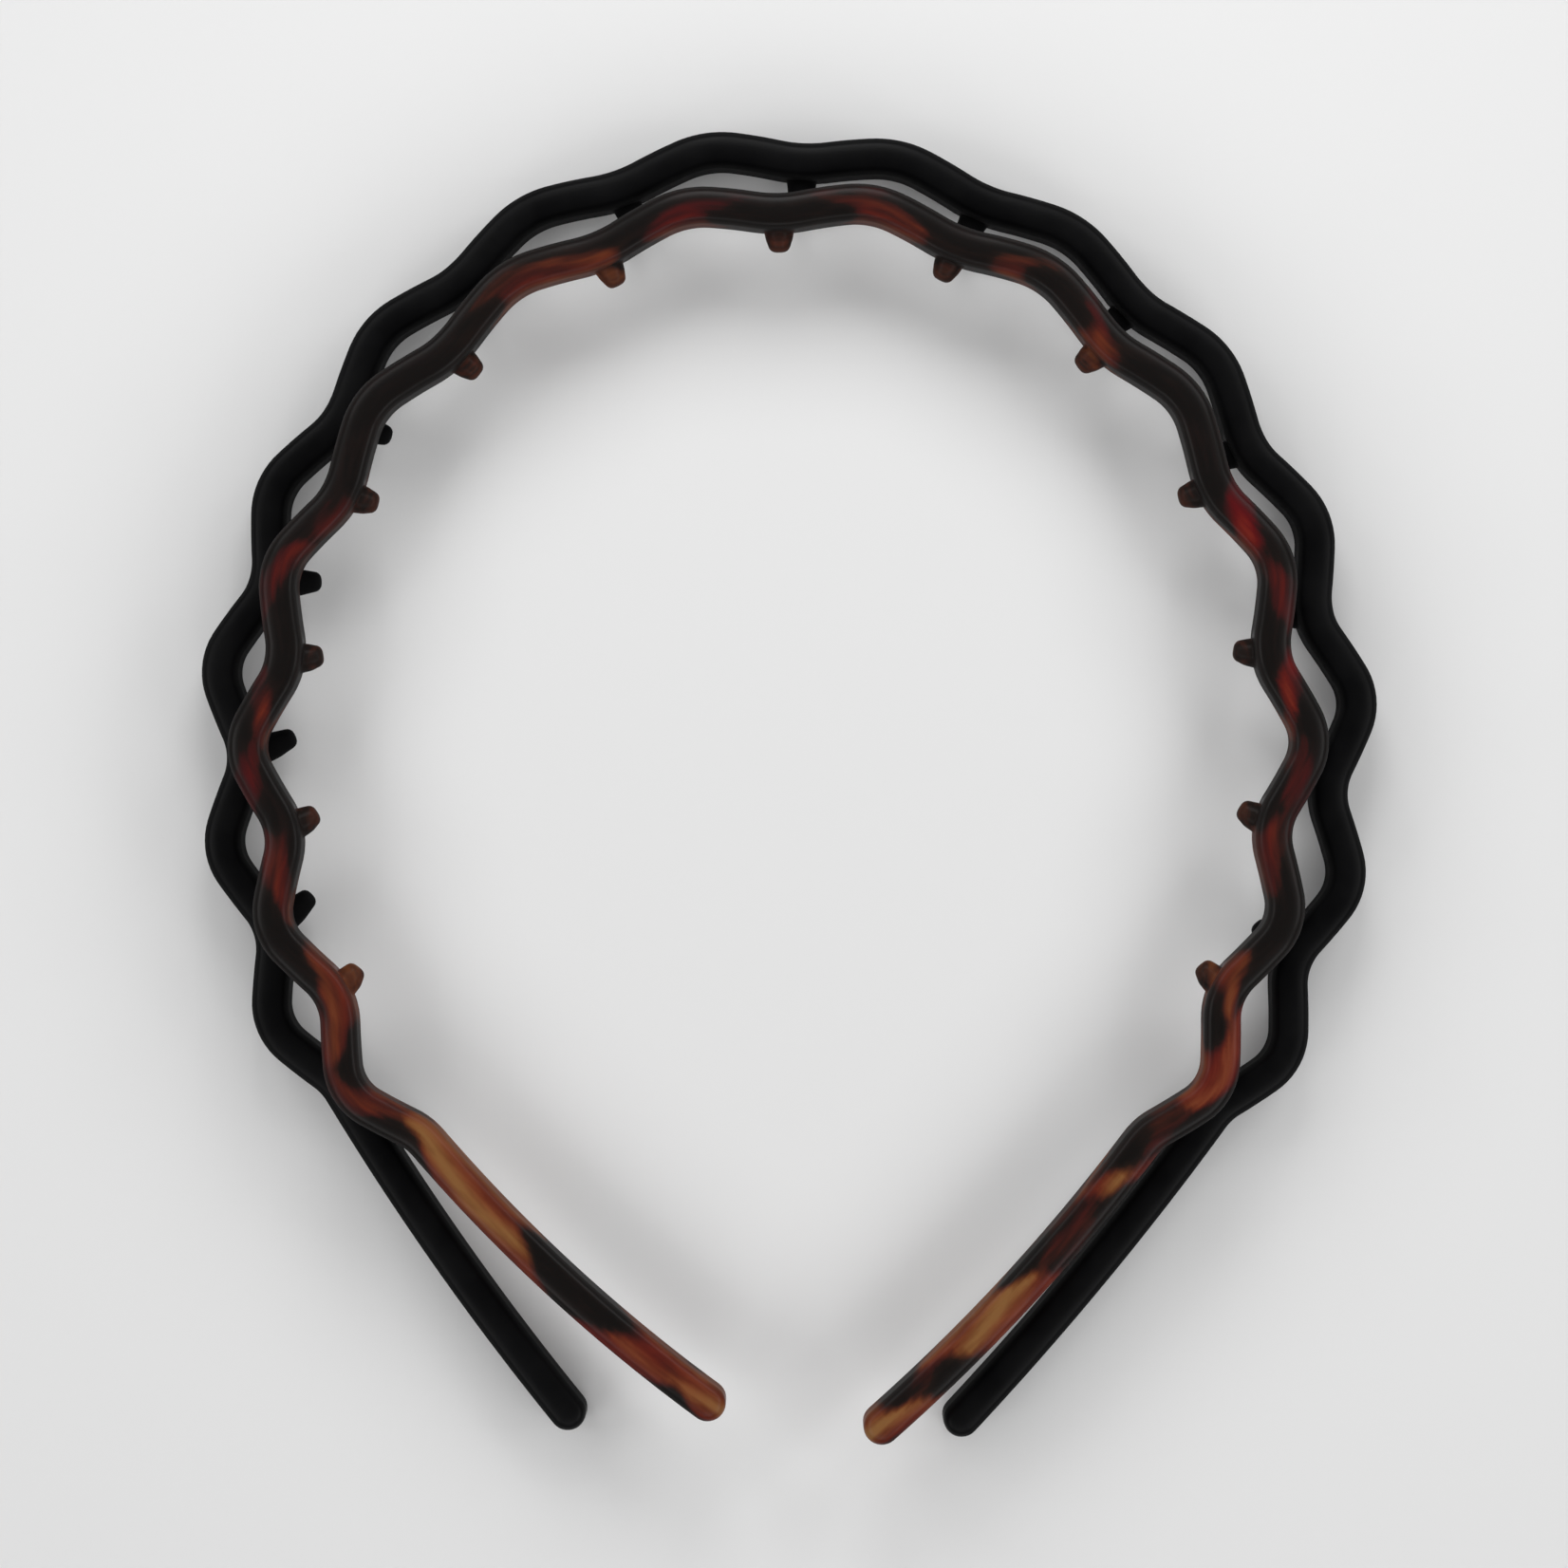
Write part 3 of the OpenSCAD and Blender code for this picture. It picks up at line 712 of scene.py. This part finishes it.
tortoiseshell = bpy.data.materials.new("polished_tortoiseshell_acetate")
tortoiseshell.use_nodes = True
nodes = tortoiseshell.node_tree
shader = nodes.nodes["Principled BSDF"]
known = {key: add_node(nodes, "ShaderNodeAttribute", attribute_name=key).outputs["Fac"]
         for key in ("along", "across", "warmth", "amber")}
here = add_node(nodes, "ShaderNodeTexCoord").outputs["Object"]
upright = add_node(nodes, "ShaderNodeSeparateXYZ", {0: here})
drawn_out = add_node(nodes, "ShaderNodeMath", {0: known["along"], 1: 1 / STRETCH_ALONG},
                     operation="MULTIPLY")
flow = add_node(nodes, "ShaderNodeCombineXYZ",
                {"X": drawn_out, "Y": known["across"], "Z": upright.outputs["Z"]})
swirls = add_node(nodes, "ShaderNodeTexNoise",
                  {"Vector": flow, "Scale": 1 / SWIRL, "Detail": 4.0, "Distortion": 0.6})
streaks = add_node(nodes, "ShaderNodeTexNoise", {"Vector": flow, "Scale": 1 / STREAK, "Detail": 2.0})
warm = known["warmth"]
for pattern, amount in ((swirls, 0.4), (streaks, 0.75)):
    centred = add_node(nodes, "ShaderNodeMath", {0: pattern, 1: 0.5}, operation="SUBTRACT")
    warm = add_node(nodes, "ShaderNodeMath", {0: centred, 1: amount, 2: warm}, operation="MULTIPLY_ADD")
print("attributes read:", ", ".join(known))

# %% Tortoiseshell: colour and polish
POLISHED_ROUGHNESS = 0.32
# From cold to warm, the colours where the plastic has no amber in it, and where it is all amber
REDS = ("13100f", "1a1312", "3a1315", "560f13", "72201a")
AMBERS = ("13100f", "201713", "48281a", "6a4023", "825a34")

shell = add_node(nodes, "ShaderNodeMix", {"Factor": known["amber"]}, data_type="RGBA")
for socket, colours in (("A_Color", REDS), ("B_Color", AMBERS)):
    ramp = add_node(nodes, "ShaderNodeValToRGB", {"Fac": warm})
    stops = ramp.color_ramp.elements
    for number, colour in enumerate(colours):
        place = number / (len(colours) - 1)
        stop = stops.new(place) if 0 < place < 1 else stops[-1 if place else 0]
        stop.color = linear(colour)
    target = next(entry for entry in shell.inputs if entry.identifier == socket)
    nodes.links.new(ramp.outputs["Color"], target)
ripple = add_node(nodes, "ShaderNodeBump", {"Height": swirls, "Strength": 0.15, "Distance": 0.1 * MM})
off_middle = add_node(nodes, "ShaderNodeMath", {0: known["across"]}, operation="ABSOLUTE")
roughness = add_node(nodes, "ShaderNodeMapRange", {
    "Value": off_middle, "From Min": WALL_START, "From Max": BAND_THICK / 2,
    "To Min": POLISHED_ROUGHNESS, "To Max": POLISHED_ROUGHNESS + WALL_ROUGHER})
mixed = next(socket for socket in shell.outputs if socket.identifier == "Result_Color")
for name, value in (("Base Color", mixed), ("Roughness", roughness.outputs[0]),
                    ("Normal", ripple.outputs[0])):
    nodes.links.new(value, shader.inputs[name])
for name, value in (("IOR", 1.49), ("Specular IOR Level", 0.1),
                    ("Coat Weight", 0.05), ("Coat Roughness", 0.15),
                    ("Subsurface Weight", 0.1), ("Subsurface Scale", 0.8 * MM)):
    shader.inputs[name].default_value = value
print(tortoiseshell.name, len(nodes.nodes), "nodes")

# %% [markdown]
# ## The four halves
# The springy bending of a band happens at the two sides of its crown, so the visible moulding is made as
# a left and a right half that meet in the middle of the crown, each closed with a flat face.

# %% Making a half
MATERIALS = {"black": (black_abs, "satin_black_plastic"),
             "tortoise": (tortoiseshell, "gloss_tortoiseshell_plastic")}
SHARP_ANGLE = 55
SOCKETS = {item.name: item.identifier for item in tree.interface.items_tree if item.in_out == "INPUT"}


def make_half(name, side):
    """One half band as a plain mesh, with the tree's result kept and the modifier gone."""
    band = BANDS[name]
    rows = marks_object("rows", *half_marks(band, side))
    points, shares = section_outline(band["depth"])
    outline = marks_object("section", points, {"side_share": shares})
    moulding = rows.modifiers.new("moulding", "NODES")
    moulding.node_group = tree
    for key, value in {"Section": outline, "Material": MATERIALS[name][0], "Tooth Rings": TOOTH_RINGS,
                       "Tooth Length": band["tooth"], **SIZE_INPUTS}.items():
        moulding[SOCKETS[key]] = value
    bpy.context.view_layer.update()
    result = rows.evaluated_get(bpy.context.evaluated_depsgraph_get())
    mesh = bpy.data.meshes.new_from_object(result)
    for helper in (rows, outline):
        bpy.data.objects.remove(helper)
    half = bpy.data.objects.new(f"{name}_{side}_half", mesh)
    bpy.context.scene.collection.objects.link(half)
    return half


def turn_outwards(half):
    """Turns the faces outwards, keeps the cut face flat, and counts the edges that are left open."""
    skin = bmesh.new()
    skin.from_mesh(half.data)
    bmesh.ops.recalc_face_normals(skin, faces=skin.faces)
    loose = sum(not edge.is_manifold for edge in skin.edges)
    volume = skin.calc_volume()
    skin.to_mesh(half.data)
    skin.free()
    half.data.set_sharp_from_angle(angle=math.radians(SHARP_ANGLE))
    faces = len(half.data.polygons)
    print(f"{half.name}: {faces} faces, {loose} open edges, {volume / MM ** 3:.0f} mm3")


def paint_blotches(half, side):
    """Writes the tortoiseshell's warmth and amber share, with its painted highlight and glow, on the
    vertices.
    """
    mesh, read_back = half.data, {}
    for key in ("along", "across", "tooth_rise"):
        read_back[key] = np.zeros(len(mesh.vertices), np.float32)
        mesh.attributes[key].data.foreach_get("value", read_back[key])
    places = np.zeros(3 * len(mesh.vertices), np.float32)
    mesh.vertices.foreach_get("co", places)
    read_back["drop"] = places[2::3].max() - places[2::3]
    for key, field in blotch_fields(side, **read_back).items():
        mesh.attributes.new(key, "FLOAT", "POINT").data.foreach_set("value", field.astype(np.float32))

# %% The four halves
halves = {}
for name in BANDS:
    for side in SIDES:
        half = halves[name, side] = make_half(name, side)
        turn_outwards(half)
        if name == "tortoise":
            paint_blotches(half, side)

# %% [markdown]
# ## Setting the halves in place of the frame's parts
# The frame's hinge stands on the first flank of the second wave. Springy plastic can't turn there as a
# pin does, and the bend would be spread over a stretch on both sides of the hinge. Here the places at
# the two ends of that stretch are found but not used: each half is baked in place, and the frame's
# parts for it are hidden.

# %% Setting in place
BEND_REACH = 20 * MM
REGIONS = ("side_band", "teeth", "arm")

for (name, side), half in halves.items():
    band, links = BANDS[name], BANDS[name][side + "_links"]
    for distance in (knuckle_distance(links) - BEND_REACH, knuckle_distance(links) + BEND_REACH):
        x, y, _ = pose_at(links, distance)
    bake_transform(half)
    regions = [f"{name}_{side}_{region}" for region in REGIONS]
    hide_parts(f"{name}_crown_band", f"{name}_crown_teeth", *regions)

# %% [markdown]
# ## Size
# Both boxes, the design's and the visible model's, are printed side by side.

# %% Size
boxes = {"cad": [list(corner) for corner in cad_box], "visual": [list(corner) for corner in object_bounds()]}
for label, (low, high) in boxes.items():
    print(label, "box, mm:", [round((b - a) / MM, 2) for a, b in zip(low, high)])
